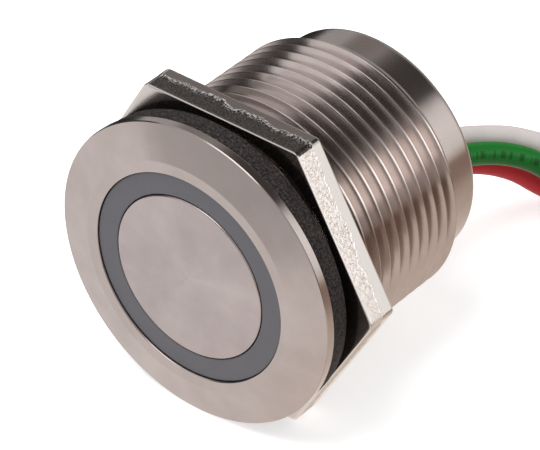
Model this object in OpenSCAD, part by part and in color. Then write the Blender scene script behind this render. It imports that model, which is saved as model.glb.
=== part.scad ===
// Flush round pushbutton switch for a 19 mm panel hole, with an illuminated ring and three leads.
// Frame: origin on the axis at the flange's back face, where the panel seats.
// The front faces -Y, the threaded barrel runs along +Y, and +Z is up.

/* [Flange] */
// How far the flange stands out around the thread
flange_overhang = 1.5; // [1.3:0.1:2.5]
// Thickness of the flange at its flat front band
flange_t = 1.25; // [1.1:0.05:1.6]
// Width of the flat front band, between the light ring and the bevel
face_band_w = 0.85; // [0.4:0.05:1.6]
// How far the bevel falls from the band to the rim
bevel_drop = 0.6; // [0.3:0.05:0.8]
// Chamfer between the bevel and the rim
rim_chamfer = 0.06; // [0.02:0.01:0.12]

/* [Barrel] */
// Outer diameter of the thread
thread_d = 19; // [16:0.1:24]
// Length of the thread behind the flange
thread_len = 15.4; // [12.5:0.1:18]
// Chamfer at the thread's rear end
thread_chamfer = 0.5; // [0.2:0.05:0.8]
// How far the plain neck lies under the thread's crests
neck_step = 1; // [0.6:0.1:1.2]
// Length of the plain neck behind the thread
neck_len = 2.8; // [2.5:0.1:5]
// Wall of the neck around the rear bore
neck_wall = 0.5; // [0.45:0.05:0.8]
// Rounding of the neck's rear edge
rear_rounding = 0.45; // [0.2:0.05:0.45]
// Length of the front lip that holds the light ring
lip_len = 2.15; // [1.9:0.05:2.3]
// How far the front lip reaches into the rear bore
lip_step = 0.4; // [0.3:0.05:0.6]

/* [Light ring] */
// Width of the ring around the button
ring_w = 1.65; // [1.4:0.05:2]
// How far the ring lies behind the front face
ring_recess = 0.15; // [0.05:0.05:0.3]
// Thickness of the flat seal between the lip and the ring's shoulder
ring_seal_t = 0.4; // [0.3:0.05:0.5]
// Length of the ring's wide rear part, behind the seal
ring_shoulder_len = 2.3; // [2.2:0.05:2.8]

/* [Button] */
// How far the button lies behind the front face
button_recess = 0.1; // [0.05:0.05:0.3]
// Travel of the button
button_travel = 1; // [0.6:0.1:1.2]
// Thickness of the cap's front wall
cap_face_t = 1.1; // [0.8:0.1:1.2]
// Length of the cap in front of its retaining collar
cap_skirt_len = 2.35; // [2.3:0.05:2.5]
// How far the retaining collar stands out around the cap
cap_collar_step = 0.55; // [0.4:0.05:0.65]
// Thickness of the retaining collar
cap_collar_t = 0.7; // [0.5:0.05:0.8]
// Wall of the cap around its hollow
cap_wall = 1.2; // [1.1:0.05:1.5]
// Edge break of the button's face
cap_edge = 0.12; // [0.05:0.01:0.2]
// Section of the seal ring in the cap's groove
seal_section = 0.7; // [0.6:0.05:0.8]
// Depth of the seal ring's middle behind the button's face
seal_depth = 1.55; // [1.45:0.05:1.6]

/* [Plunger] */
// Diameter of the plunger
plunger_d = 3.8; // [3.4:0.1:4]
// Diameter of the spigot that sits in the cap's boss
spigot_d = 2.4; // [2:0.1:2.6]
// Wall of the cap's boss around the spigot
boss_wall = 1; // [0.7:0.1:1.2]
// Length of the spigot
spigot_len = 1.4; // [1:0.1:1.5]
// Diameter of the plunger's tail, which carries the contact bridge
tail_d = 1.8; // [1.6:0.1:2]
// Length of the contact spring on the tail
contact_spring_len = 1.1; // [1:0.1:1.4]
// Free tail behind the clip
tail_tip = 0.35; // [0.2:0.05:0.4]
// Thickness of the clip on the tail
clip_t = 0.3; // [0.2:0.05:0.35]
// How far the clip stands out around the tail
clip_step = 0.7; // [0.5:0.1:0.8]

/* [Springs] */
// Gap between the return spring and the cap's wall
spring_clear = 0.3; // [0.2:0.05:0.6]
// Wire of the return spring
spring_wire = 0.5; // [0.4:0.05:0.6]
// Turns of the return spring
spring_turns = 4; // [3:0.5:4.5]
// Wire of the contact spring
contact_wire = 0.3; // [0.2:0.05:0.35]
// Turns of the contact spring
contact_turns = 2; // [1.5:0.5:2]

/* [Light board] */
// Thickness of the light board
board_t = 0.8; // [0.6:0.1:1]
// Gap between the return spring and the hole in the light board
board_clear = 0.35; // [0.2:0.05:0.6]
// Number of lights
led_count = 4; // [3:1:6]
// Length of a light, around the ring
led_w = 1.6; // [1.2:0.1:2]
// Width of a light, across the ring
led_b = 0.8; // [0.6:0.05:0.9]
// Height of a light
led_h = 0.6; // [0.4:0.05:0.7]
// Diameter of the two pins that feed the lights
pin_d = 0.5; // [0.4:0.05:0.6]

/* [Contact block] */
// Length of the moulded contact housing
block_len = 6.6; // [6.5:0.1:7]
// Thickness of its front wall
block_front_t = 1.2; // [0.8:0.1:1.3]
// Wall around its chamber
chamber_wall = 1.55; // [1.3:0.05:1.7]
// Length of the contact base's plug inside the chamber
base_plug_len = 1.4; // [1:0.1:1.6]
// Thickness of the contact base's flange
base_flange_t = 1.2; // [0.8:0.1:1.4]
// Distance between the two fixed contacts
contact_span = 6.8; // [6.4:0.1:7]
// Diameter of a contact's head
contact_head_d = 2.2; // [1.8:0.1:2.4]
// Height of a contact's head
contact_head_h = 0.5; // [0.4:0.05:0.6]
// Diameter of a contact's shank
contact_shank_d = 1.2; // [1:0.1:1.4]
// Thickness of the contact bridge
bridge_t = 0.3; // [0.2:0.05:0.35]
// Width of the contact bridge
bridge_w = 3; // [2.8:0.1:3.4]
// Height of the bridge's contact buttons
bridge_button_h = 0.35; // [0.3:0.05:0.4]

/* [Terminal board and potting] */
// Thickness of the terminal board
terminal_t = 1; // [0.8:0.1:1.2]
// How far a pin or tail stands out of the terminal board
tail_out = 0.5; // [0.3:0.05:0.6]
// Height of a solder joint
solder_h = 0.6; // [0.4:0.05:0.7]
// How far the foot of a solder joint spreads beyond its pin
solder_spread = 0.35; // [0.2:0.05:0.4]
// Thickness of the solder at its tip
solder_tip = 0.12; // [0.08:0.01:0.15]
// How far the potting lies inside the rear rim
potting_recess = 0.4; // [0.2:0.05:0.6]
// Length of the resistor's body
resistor_w = 1.6; // [1.2:0.1:2]
// Width of the resistor's body
resistor_b = 0.8; // [0.6:0.1:1]
// Height of the resistor's body
resistor_h = 0.5; // [0.3:0.05:0.6]

/* [Nut and gasket] */
// Wall of the nut between its thread and its flats
nut_wall = 1.2; // [0.9:0.1:2.5]
// Thickness of the nut
nut_t = 2.35; // [1.8:0.05:3]
// How far the nut's corners are worn back
nut_corner_wear = 0.055; // [0.02:0.005:0.4]
// Rolled edge of the nut's flats at the rear
nut_roll = 0.2; // [0.1:0.05:0.5]
// Gap between the foam gasket and the nut, where the panel goes
nut_gap = 0.62; // [0.2:0.02:3]
// How far the foam gasket lies inside the flange's rim
gasket_inset = 0.1; // [0.05:0.05:0.3]
// Thickness of the foam gasket
gasket_t = 1.5; // [1:0.1:1.6]

/* [Leads] */
// Diameter over a lead's insulation
lead_d = 1.6; // [1.4:0.05:1.7]
// Diameter of a lead's bare end
core_d = 0.7; // [0.5:0.05:0.8]
// Length of a lead's bare end behind the terminal board
core_len = 1.2; // [1:0.1:1.4]

/* [Fits] */
// Gap around a part that is fixed in another
seat_gap = 0.02; // [0.01:0.005:0.03]
// Gap around a part that slides or is dropped in
run_gap = 0.05; // [0.03:0.01:0.08]
// Gap left between the contacts at full travel
contact_gap = 0.05; // [0.03:0.01:0.1]

/* [Hidden] */
$fn = 96;

// Diameters, from the thread inwards and outwards
flange_d = thread_d + 2 * flange_overhang;
gasket_d = flange_d - 2 * gasket_inset;
nut_af = thread_d + 2 * nut_wall;
nut_corner_d = nut_af / cos(30) - 2 * nut_corner_wear;
neck_d = thread_d - 2 * neck_step;
rear_bore_d = neck_d - 2 * neck_wall;
ring_d = rear_bore_d - 2 * lip_step;
face_band_d = ring_d + 2 * face_band_w;
button_d = ring_d - 2 * ring_w;
cap_collar_d = button_d + 2 * cap_collar_step;
cap_hollow_d = button_d - 2 * cap_wall;
spring_d = cap_hollow_d - spring_wire - 2 * spring_clear;
boss_d = spigot_d + 2 * boss_wall;
clip_d = tail_d + 2 * clip_step;
board_hole_d = spring_d + spring_wire + 2 * board_clear;

// Places along the axis, measured behind the flange's back face
body_len = thread_len + neck_len;
nut_seat = gasket_t + nut_gap;
front_y = -flange_t;
button_y = front_y + button_recess;
ring_y = front_y + ring_recess;
lip_y = front_y + lip_len;
shoulder_y = lip_y + ring_seal_t;
board_y = shoulder_y + ring_shoulder_len;
block_y = board_y + board_t;
base_flange_y = block_y + block_len;
base_y = base_flange_y - base_plug_len;
terminal_y = base_flange_y + base_flange_t;
solder_y = terminal_y + terminal_t;
potting_y = body_len - potting_recess;
collar_y = button_y + cap_skirt_len + seat_gap;
boss_end_y = button_y + cap_face_t + spigot_len;
contact_face_y = base_y - contact_head_h;
bridge_y = contact_face_y - contact_gap - button_travel - bridge_button_h - bridge_t;
tail_y = bridge_y - contact_spring_len;
clip_y = bridge_y + bridge_t + seat_gap;

// Sizes that follow from the fits
button_r = button_d / 2;
ring_guide_r = button_r + run_gap;
ring_counterbore_r = cap_collar_d / 2 + 2 * run_gap;
insert_r = rear_bore_d / 2 - run_gap;
chamber_d = 2 * (insert_r - chamber_wall);
clip_groove_r = tail_d / 2 - 0.3;
led_clear = 0.15;
// Circle on which the lights sit, midway in the ring's rear part
led_circle_d = ring_counterbore_r + insert_r;
// Circle on which the light pins sit, midway in the wall of the contact block
pin_circle_d = chamber_d / 2 + insert_r;

// Places of the two light pins, between the lights
pin_angles = [0, 180];
// Places of the leads on the rear face, in X and Z
lead_white_at = [0, -2.9];
lead_green_at = [1.7, -3.4];
lead_red_at = [0.5, -4.6];
leads_at = [lead_white_at, lead_green_at, lead_red_at];
lead_start_y = solder_y + core_len;
resistor_z = 3;

// Surface on which the switch and its leads lie, under the flange
table_z = -flange_d / 2;
coil_turn_gap = 0.05;
coil_pitch = lead_d + coil_turn_gap;
coil_turns = 2;
// Middle of the coils, and the radius at which a lead joins its coil
coil_at = [20.6, 30];
coil_join_r = 11;

// Routes of the leads behind the rear face, as points in X, Y and Z
white_route = [
    [0, 17.9, -2.9], [0, 19.4, -2.9], [0.1, 21, -2.9], [0.2, 22.6, -3.1],
    [0.5, 24.5, -3.5], [0.9, 26.5, -4], [1.5, 28.5, -4.7], [2.5, 30.3, -5.3],
    [3.9, 31.6, -5.9], [5.5, 32.6, -6.5], [7.2, 33.6, -6.8], [8.8, 34.7, -6.9]
];
green_route = [
    [1.7, 17.9, -3.4], [1.7, 19.4, -3.4], [1.8, 21, -3.4], [1.9, 22.6, -3.6],
    [2.3, 24.4, -3.8], [2.9, 26.2, -4.2], [3.7, 27.9, -4.8], [4.7, 29.4, -5.6],
    [5.7, 30.7, -6.8], [6.7, 32, -7.9], [7.7, 33.3, -8.5], [8.8, 34.7, -8.55]
];
red_route = [
    [0.5, 17.9, -4.6], [0.5, 19.4, -4.6], [0.6, 21, -4.6], [0.7, 22.6, -4.8],
    [1.1, 24.4, -5.1], [1.7, 26.3, -5.6], [2.5, 28.1, -6.3], [3.5, 29.8, -7.4],
    [4.6, 31.2, -8.8], [5.9, 32.4, -9.8], [7.4, 33.5, -10.2], [8.8, 34.7, -10.2]
];

// Turns a shape that is built along +Z, so that it runs along +Y
module along_axis() {
    rotate([-90, 0, 0])
        children();
}

// A round solid or ring along the axis, from y to y + len
module ring_at(y, len, r_out, r_in = 0) {
    along_axis()
        translate([0, 0, y])
            difference() {
                cylinder(h = len, r = r_out);
                if (r_in > 0)
                    translate([0, 0, -1])
                        cylinder(h = len + 2, r = r_in);
            }
}

// A round hole along the axis at a place in X and Z
module hole_at(place, y, len, r) {
    translate([place[0], 0, place[1]])
        ring_at(y, len, r);
}

// Places the children on a circle around the axis, by angle from +X
module on_circle(d, angle) {
    rotate([0, -angle, 0])
        translate([d / 2, 0, 0])
            children();
}

// Points of a helix around the axis, from y0 to y1
function helix(r, y0, y1, turns, steps) = [
    for (i = [0 : steps])
        let (t = i / steps, a = 360 * turns * t)
            [r * cos(a), y0 + (y1 - y0) * t, r * sin(a)]
];

function unit(v) = v / norm(v);

// Direction of a path at one of its points
function heading(path, i) = unit(
    path[min(i + 1, len(path) - 1)] - path[max(i - 1, 0)]
);

// A closed round tube along a path, with a number of sides
module tube(path, r, sides, side_hint) {
    last = len(path) - 1;
    rings = [
        for (i = [0 : last])
            let (
                d = heading(path, i),
                u = unit(cross(d, side_hint)),
                v = cross(u, d)
            )
                for (k = [0 : sides - 1])
                    let (a = 360 * k / sides)
                        path[i] + r * (cos(a) * u + sin(a) * v)
    ];
    walls = [
        for (i = [0 : last - 1], k = [0 : sides - 1])
            let (n = (k + 1) % sides, a = i * sides, b = a + sides)
                [a + k, a + n, b + n, b + k]
    ];
    start_cap = [[for (k = [0 : sides - 1]) sides - 1 - k]];
    end_cap = [[for (k = [0 : sides - 1]) last * sides + k]];
    polyhedron(points = rings, faces = concat(walls, start_cap, end_cap), convexity = 8);
}

// Turned body: bevelled flange, front lip, threaded barrel and plain neck in one piece
module housing() {
    flange_r = flange_d / 2;
    rim_front_y = front_y + bevel_drop;
    round_y = body_len - rear_rounding;
    round_r = neck_d / 2 - rear_rounding;
    color("silver")
        along_axis()
            difference() {
                union() {
                    rotate_extrude()
                        polygon([
                            [0, front_y],
                            [face_band_d / 2, front_y],
                            [flange_r - rim_chamfer, rim_front_y],
                            [flange_r, rim_front_y + rim_chamfer],
                            [flange_r, 0],
                            [0, 0]
                        ]);
                    cylinder(h = thread_len - thread_chamfer, r = thread_d / 2);
                    translate([0, 0, thread_len - thread_chamfer])
                        cylinder(h = thread_chamfer, r1 = thread_d / 2,
                            r2 = thread_d / 2 - thread_chamfer);
                    cylinder(h = round_y, r = neck_d / 2);
                    cylinder(h = body_len, r = round_r);
                    translate([0, 0, round_y])
                        rotate_extrude()
                            translate([round_r, 0])
                                circle(r = rear_rounding, $fn = 32);
                }
                translate([0, 0, front_y - 1])
                    cylinder(h = lip_len + 2, r = ring_d / 2 + seat_gap);
                translate([0, 0, lip_y])
                    cylinder(h = body_len, r = rear_bore_d / 2);
            }
}

// Foam ring that seals the flange against the panel
module panel_gasket() {
    color("#3c3637")
        ring_at(0, gasket_t, gasket_d / 2, thread_d / 2 + run_gap);
}

// One pair of the nut's flats, sheared square at the front and rolled at the rear
module nut_flats() {
    half = nut_af / 2;
    rotate([90, 0, 90])
        translate([0, 0, -nut_corner_d])
            linear_extrude(height = 2 * nut_corner_d)
                union() {
                    translate([-half, 0])
                        square([nut_af, nut_t - nut_roll]);
                    translate([-half + nut_roll, 0])
                        square([nut_af - 2 * nut_roll, nut_t]);
                    for (side = [-1, 1])
                        translate([side * (half - nut_roll), nut_t - nut_roll])
                            circle(r = nut_roll, $fn = 32);
                }
}

// Stamped hexagon nut on the thread
module hex_nut() {
    color("#b8aea7")
        along_axis()
            translate([0, 0, nut_seat])
                difference() {
                    intersection() {
                        nut_flats();
                        rotate([0, 0, 60])
                            nut_flats();
                        rotate([0, 0, 120])
                            nut_flats();
                        cylinder(h = nut_t, r = nut_corner_d / 2);
                    }
                    translate([0, 0, -1])
                        cylinder(h = nut_t + 2, r = thread_d / 2 + seat_gap);
                }
}

// Translucent ring around the button, with a shoulder behind the lip and pockets for the lights
module light_ring() {
    pocket_out = led_circle_d / 2 + led_b / 2 + led_clear;
    pocket_in = ring_counterbore_r - led_clear;
    color("#66625f")
        difference() {
            union() {
                ring_at(ring_y, board_y - ring_y, ring_d / 2);
                ring_at(shoulder_y, ring_shoulder_len, insert_r);
            }
            ring_at(ring_y - 1, board_y - ring_y + 2, ring_guide_r);
            ring_at(button_y + cap_skirt_len, board_y, ring_counterbore_r);
            for (i = [0 : led_count - 1])
                on_circle(pocket_in + pocket_out, 45 + 360 * i / led_count)
                    translate([0, board_y - (led_h + led_clear) / 2 + 0.5, 0])
                        cube([
                            pocket_out - pocket_in,
                            led_h + led_clear + 1,
                            led_w + 2 * led_clear
                        ], center = true);
        }
}

// Flat seal between the lip and the light ring's shoulder
module ring_seal() {
    color("#d8d4cc")
        ring_at(lip_y, ring_seal_t, insert_r, ring_d / 2 + seat_gap);
}

// Button face and skirt, with a collar that keeps it in the ring and a boss for the plunger
module button_cap() {
    hollow_y = button_y + cap_face_t;
    end_y = collar_y + cap_collar_t;
    seal_y = button_y + seal_depth;
    groove = seal_section + 2 * run_gap;
    color("#bdb0ab")
        difference() {
            union() {
                along_axis()
                    rotate_extrude()
                        polygon([
                            [0, button_y],
                            [button_r - cap_edge, button_y],
                            [button_r, button_y + cap_edge],
                            [button_r, collar_y],
                            [cap_collar_d / 2, collar_y],
                            [cap_collar_d / 2, end_y],
                            [cap_hollow_d / 2, end_y],
                            [cap_hollow_d / 2, hollow_y],
                            [0, hollow_y]
                        ]);
                ring_at(button_y + cap_face_t / 2, cap_face_t / 2 + spigot_len, boss_d / 2);
            }
            ring_at(hollow_y, spigot_len + 1, spigot_d / 2 + seat_gap);
            ring_at(seal_y - groove / 2, groove, button_d, button_r - seal_section);
        }
}

// Round seal in the cap's groove, against the light ring
module button_seal() {
    color("#2c2a29")
        along_axis()
            translate([0, 0, button_y + seal_depth])
                rotate_extrude()
                    translate([button_r + seat_gap - seal_section / 2, 0])
                        circle(d = seal_section, $fn = 32);
}

// Moulded stem between the cap and the contact bridge
module plunger() {
    color("#e8e2d2")
        difference() {
            union() {
                ring_at(boss_end_y - spigot_len, spigot_len, spigot_d / 2);
                ring_at(boss_end_y, tail_y - boss_end_y, plunger_d / 2);
                ring_at(tail_y, clip_y + clip_t + tail_tip - tail_y, tail_d / 2);
            }
            ring_at(clip_y - seat_gap, clip_t + 2 * seat_gap, tail_d, clip_groove_r);
        }
}

// Coil spring between the cap and the contact block
module return_spring() {
    y0 = button_y + cap_face_t + spring_wire / 2 + seat_gap;
    y1 = block_y - spring_wire / 2 - seat_gap;
    color("#a8a8a8")
        tube(helix(spring_d / 2, y0, y1, spring_turns, 18 * spring_turns),
            spring_wire / 2, 8, [0, 1, 0]);
}

// Ring-shaped board that carries the lights
module light_board() {
    color("#e9e9e4")
        difference() {
            ring_at(board_y, board_t, insert_r, board_hole_d / 2);
            for (a = pin_angles)
                on_circle(pin_circle_d, a)
                    ring_at(board_y - 1, board_t + 2, pin_d / 2 + seat_gap);
        }
}

// Lights under the ring, as a group
module lights() {
    color("#f4efcf")
        for (i = [0 : led_count - 1])
            on_circle(led_circle_d, 45 + 360 * i / led_count)
                translate([0, board_y - led_h / 2, 0])
                    cube([led_b, led_h, led_w], center = true);
}

// Two pins that bring current from the terminal board to the light board
module light_pins() {
    color("#c9a857")
        for (a = pin_angles)
            on_circle(pin_circle_d, a)
                ring_at(board_y, solder_y + tail_out - board_y, pin_d / 2);
}

// Moulded cup that guides the plunger and holds the contacts
module contact_block() {
    color("#2f3033")
        difference() {
            ring_at(block_y, block_len, insert_r);
            ring_at(block_y + block_front_t, block_len, chamber_d / 2);
            ring_at(block_y - 1, block_front_t + 2, plunger_d / 2 + run_gap);
            for (a = pin_angles)
                on_circle(pin_circle_d, a)
                    ring_at(block_y - 1, block_len + 2, pin_d / 2 + run_gap);
        }
}

// Bar that joins the two fixed contacts when the button is pressed
module contact_bridge() {
    bar_len = contact_span + contact_head_d;
    color("#c08a4a")
        difference() {
            union() {
                translate([-bar_len / 2, bridge_y, -bridge_w / 2])
                    cube([bar_len, bridge_t, bridge_w]);
                for (side = [-1, 1])
                    translate([side * contact_span / 2, 0, 0])
                        ring_at(bridge_y + bridge_t / 2,
                            bridge_t / 2 + bridge_button_h, contact_head_d / 2 - run_gap);
            }
            ring_at(bridge_y - 1, bridge_t + 2, tail_d / 2 + seat_gap);
        }
}

// Small spring that presses the bridge on the contacts
module contact_spring() {
    r = tail_d / 2 + contact_wire / 2 + run_gap;
    y0 = tail_y + contact_wire / 2 + seat_gap;
    y1 = bridge_y - contact_wire / 2 - seat_gap;
    color("#a8a8a8")
        tube(helix(r, y0, y1, contact_turns, 16 * contact_turns),
            contact_wire / 2, 8, [0, 1, 0]);
}

// Open clip that holds the bridge on the plunger's tail
module bridge_clip() {
    slot_w = clip_groove_r * 1.6;
    color("#8e8e8e")
        difference() {
            ring_at(clip_y, clip_t, clip_d / 2, clip_groove_r + seat_gap);
            translate([0, clip_y - 1, -slot_w / 2])
                cube([clip_d, clip_t + 2, slot_w]);
        }
}

// Moulded base that closes the contact block and carries the fixed contacts
module contact_base() {
    color("#7c4a36")
        difference() {
            union() {
                ring_at(base_y, base_plug_len, chamber_d / 2 - run_gap);
                ring_at(base_flange_y, base_flange_t, insert_r);
            }
            for (side = [-1, 1])
                hole_at([side * contact_span / 2, 0], base_y - 1,
                    base_plug_len + base_flange_t + 2, contact_shank_d / 2 + seat_gap);
            for (a = pin_angles)
                on_circle(pin_circle_d, a)
                    ring_at(base_y - 1, base_plug_len + base_flange_t + 2,
                        pin_d / 2 + run_gap);
        }
}

// Riveted contact: a head in the chamber and a shank through the base and the board
module fixed_contact(side) {
    color("#c9a857")
        translate([side * contact_span / 2, 0, 0])
            union() {
                ring_at(contact_face_y, contact_head_h, contact_head_d / 2);
                ring_at(base_y, solder_y + tail_out - base_y, contact_shank_d / 2);
            }
}

module contact_common() {
    fixed_contact(-1);
}

module contact_working() {
    fixed_contact(1);
}

// Round board behind the contact base, where the leads are soldered
module terminal_board() {
    color("#2f6b45")
        difference() {
            ring_at(terminal_y, terminal_t, insert_r);
            for (side = [-1, 1])
                hole_at([side * contact_span / 2, 0], terminal_y - 1,
                    terminal_t + 2, contact_shank_d / 2 + seat_gap);
            for (a = pin_angles)
                on_circle(pin_circle_d, a)
                    ring_at(terminal_y - 1, terminal_t + 2, pin_d / 2 + run_gap);
            for (place = leads_at)
                hole_at(place, terminal_y - 1, terminal_t + 2, core_d / 2 + seat_gap);
        }
}

// The resistor's body, flat on the terminal board, with a gap around it
module resistor_block(grow) {
    translate([-resistor_w / 2 - grow, solder_y, resistor_z - resistor_b / 2 - grow])
        cube([resistor_w + 2 * grow, resistor_h + grow, resistor_b + 2 * grow]);
}

// Resistor of the lights
module resistor() {
    color("#22242a")
        resistor_block(0);
}

// Bare ends of the three leads, through the terminal board
module lead_cores() {
    color("#c77b45")
        for (place = leads_at)
            hole_at(place, terminal_y, lead_start_y - terminal_y, core_d / 2);
}

// One cone of solder around a pin of radius r
module solder_cone(r) {
    along_axis()
        translate([0, 0, solder_y])
            rotate_extrude()
                polygon([
                    [r + seat_gap, 0],
                    [r + solder_spread, 0],
                    [r + solder_tip, solder_h],
                    [r + seat_gap, solder_h]
                ]);
}

// Solder at the leads' cores, the contacts' tails and the light pins
module solder_joints() {
    color("#c6c8cc") {
        for (place = leads_at)
            translate([place[0], 0, place[1]])
                solder_cone(core_d / 2);
        for (side = [-1, 1])
            translate([side * contact_span / 2, 0, 0])
                solder_cone(contact_shank_d / 2);
        for (a = pin_angles)
            on_circle(pin_circle_d, a)
                solder_cone(pin_d / 2);
    }
}

// Resin that fills the rear of the body around the joints and the leads
module potting() {
    joint_len = max(tail_out, solder_h) + run_gap;
    joint_gap = solder_spread + run_gap;
    color("#26262a")
        difference() {
            ring_at(solder_y, potting_y - solder_y, rear_bore_d / 2 - seat_gap);
            for (place = leads_at)
                hole_at(place, solder_y - 1, body_len, lead_d / 2 + seat_gap);
            for (side = [-1, 1])
                hole_at([side * contact_span / 2, 0], solder_y - 1,
                    joint_len + 1, contact_shank_d / 2 + joint_gap);
            for (a = pin_angles)
                on_circle(pin_circle_d, a)
                    ring_at(solder_y - 1, joint_len + 1, pin_d / 2 + joint_gap);
            translate([0, -1, 0])
                resistor_block(run_gap);
            resistor_block(run_gap);
        }
}

// One lead, from its bare end through the potting and along its route
module lead(place, route) {
    start = [place[0], lead_start_y, place[1]];
    tube(concat([start], route), lead_d / 2, 8, [0, 0, 1]);
}

module lead_white() {
    color("#d2cac9")
        lead(lead_white_at, white_route);
}

module lead_green() {
    color("#247130")
        lead(lead_green_at, green_route);
}

module lead_red() {
    color("#b83038")
        lead(lead_red_at, red_route);
}

// Outer shape of a flat coil, as the given layer above the table
module lead_coil(layer) {
    coil_out = coil_join_r + coil_pitch / 2;
    coil_in = coil_join_r - (coil_turns + 0.5) * coil_pitch;
    translate([coil_at[0], coil_at[1], table_z + layer * coil_pitch])
        rotate_extrude()
            translate([coil_in, 0])
                square([coil_out - coil_in, lead_d]);
}

module coil_white() {
    color("#d2cac9")
        lead_coil(2);
}

module coil_green() {
    color("#247130")
        lead_coil(1);
}

module coil_red() {
    color("#b83038")
        lead_coil(0);
}

housing();
panel_gasket();
hex_nut();
light_ring();
ring_seal();
button_cap();
button_seal();
plunger();
return_spring();
light_board();
lights();
light_pins();
contact_block();
contact_bridge();
contact_spring();
bridge_clip();
contact_base();
contact_common();
contact_working();
terminal_board();
resistor();
lead_cores();
solder_joints();
potting();
lead_white();
lead_green();
lead_red();
coil_white();
coil_green();
coil_red();
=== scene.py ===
# Flush round pushbutton switch for a 19 mm panel hole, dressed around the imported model
import math
import bmesh
import bpy
import numpy as np
from mathutils import Euler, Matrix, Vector


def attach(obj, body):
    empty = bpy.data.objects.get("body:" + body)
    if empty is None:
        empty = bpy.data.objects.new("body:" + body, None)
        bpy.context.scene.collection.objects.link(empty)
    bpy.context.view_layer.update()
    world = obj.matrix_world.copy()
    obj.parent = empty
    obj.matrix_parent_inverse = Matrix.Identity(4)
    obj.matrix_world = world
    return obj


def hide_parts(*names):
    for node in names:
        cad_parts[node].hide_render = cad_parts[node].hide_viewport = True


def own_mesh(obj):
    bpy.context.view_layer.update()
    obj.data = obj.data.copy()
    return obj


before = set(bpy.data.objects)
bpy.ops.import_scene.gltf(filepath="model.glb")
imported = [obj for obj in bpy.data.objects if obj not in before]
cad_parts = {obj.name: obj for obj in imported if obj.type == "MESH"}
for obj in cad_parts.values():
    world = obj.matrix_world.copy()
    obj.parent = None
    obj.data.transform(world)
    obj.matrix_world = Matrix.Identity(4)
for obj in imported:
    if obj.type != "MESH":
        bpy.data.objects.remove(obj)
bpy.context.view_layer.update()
scene = bpy.context.scene
mm = 0.001  # every size below is in millimetres, and a mesh gets metres
floorLevel = -11.0  # the flange and the put-away leads lie on it


def linearColour(hexColour):
    # sRGB hex to the linear colour that the shaders want
    parts = [int(hexColour[i:i + 2], 16) / 255 for i in (1, 3, 5)]
    return tuple(p / 12.92 if p <= 0.04045 else ((p + 0.055) / 1.055) ** 2.4 for p in parts) + (1.0,)


def addNode(tree, kind, values=None, links=None, **settings):
    # values and links are keyed by the socket's name, or by its number where a name stands for several
    node = tree.nodes.new(kind)
    for name, value in settings.items():
        setattr(node, name, value)
    for socket, value in (values or {}).items():
        node.inputs[socket].default_value = value
    for socket, source in (links or {}).items():
        tree.links.new(source, node.inputs[socket])
    return node


# Camera

viewpoint = {
    "place": (0.143306, -0.170006, 0.169193),  # metres
    "azimuth": 38.97,  # degrees to the right of the switch's front
    "elevation": 36.69,
    "lens": 290.5,  # on a 36 mm wide sensor
}


def makeCamera():
    data = bpy.data.cameras.new("camera")
    data.lens = viewpoint["lens"]
    data.sensor_width = 36
    data.sensor_fit = "HORIZONTAL"
    data.clip_start = 0.01
    camera = bpy.data.objects.new("camera", data)
    camera.location = viewpoint["place"]
    camera.rotation_euler = Euler((
        math.radians(90 - viewpoint["elevation"]), 0, math.radians(viewpoint["azimuth"])))
    scene.collection.objects.link(camera)
    scene.camera = camera


makeCamera()
scene.view_settings.view_transform = "Standard"
print("camera placed")


# Surfaces worked out as grids of points

def gridFaces(rows, columns, loop=False):
    # quads between neighbouring rows; the last column meets the first, and with loop the last row does too
    row, column = np.meshgrid(np.arange(rows if loop else rows - 1), np.arange(columns), indexing="ij")
    nextRow, nextColumn = (row + 1) % rows, (column + 1) % columns
    corners = [row * columns + column, row * columns + nextColumn,
               nextRow * columns + nextColumn, nextRow * columns + column]
    return np.stack(corners, axis=-1).reshape(-1, 4)


def makePiece(name, points, faces, material, body, replaced=(), sharp=38, values=None):
    # points are in metres; doubles at seams and poles are merged, and the faces then turned outwards; edges
    # that turn by more than sharp degrees stay crisp
    mesh = bpy.data.meshes.new(name)
    mesh.from_pydata(points.reshape(-1, 3).tolist(), [], faces.tolist())
    for label, numbers in (values or {}).items():
        kind, field = ("FLOAT_VECTOR", "vector") if numbers.ndim > 1 else ("FLOAT", "value")
        layer = mesh.attributes.new(label, kind, "POINT")
        layer.data.foreach_set(field, numbers.ravel().astype(np.float32))
    shell = bmesh.new()
    shell.from_mesh(mesh)
    bmesh.ops.remove_doubles(shell, verts=shell.verts, dist=1e-7)
    bmesh.ops.dissolve_degenerate(shell, edges=shell.edges, dist=1e-8)
    bmesh.ops.recalc_face_normals(shell, faces=shell.faces)
    shell.to_mesh(mesh)
    shell.free()
    mesh.shade_smooth()
    mesh.set_sharp_from_angle(angle=math.radians(sharp))
    mesh.materials.append(material)
    piece = bpy.data.objects.new(name, mesh)
    scene.collection.objects.link(piece)
    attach(piece, body)
    if replaced:
        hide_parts(*replaced)
    return piece


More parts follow.
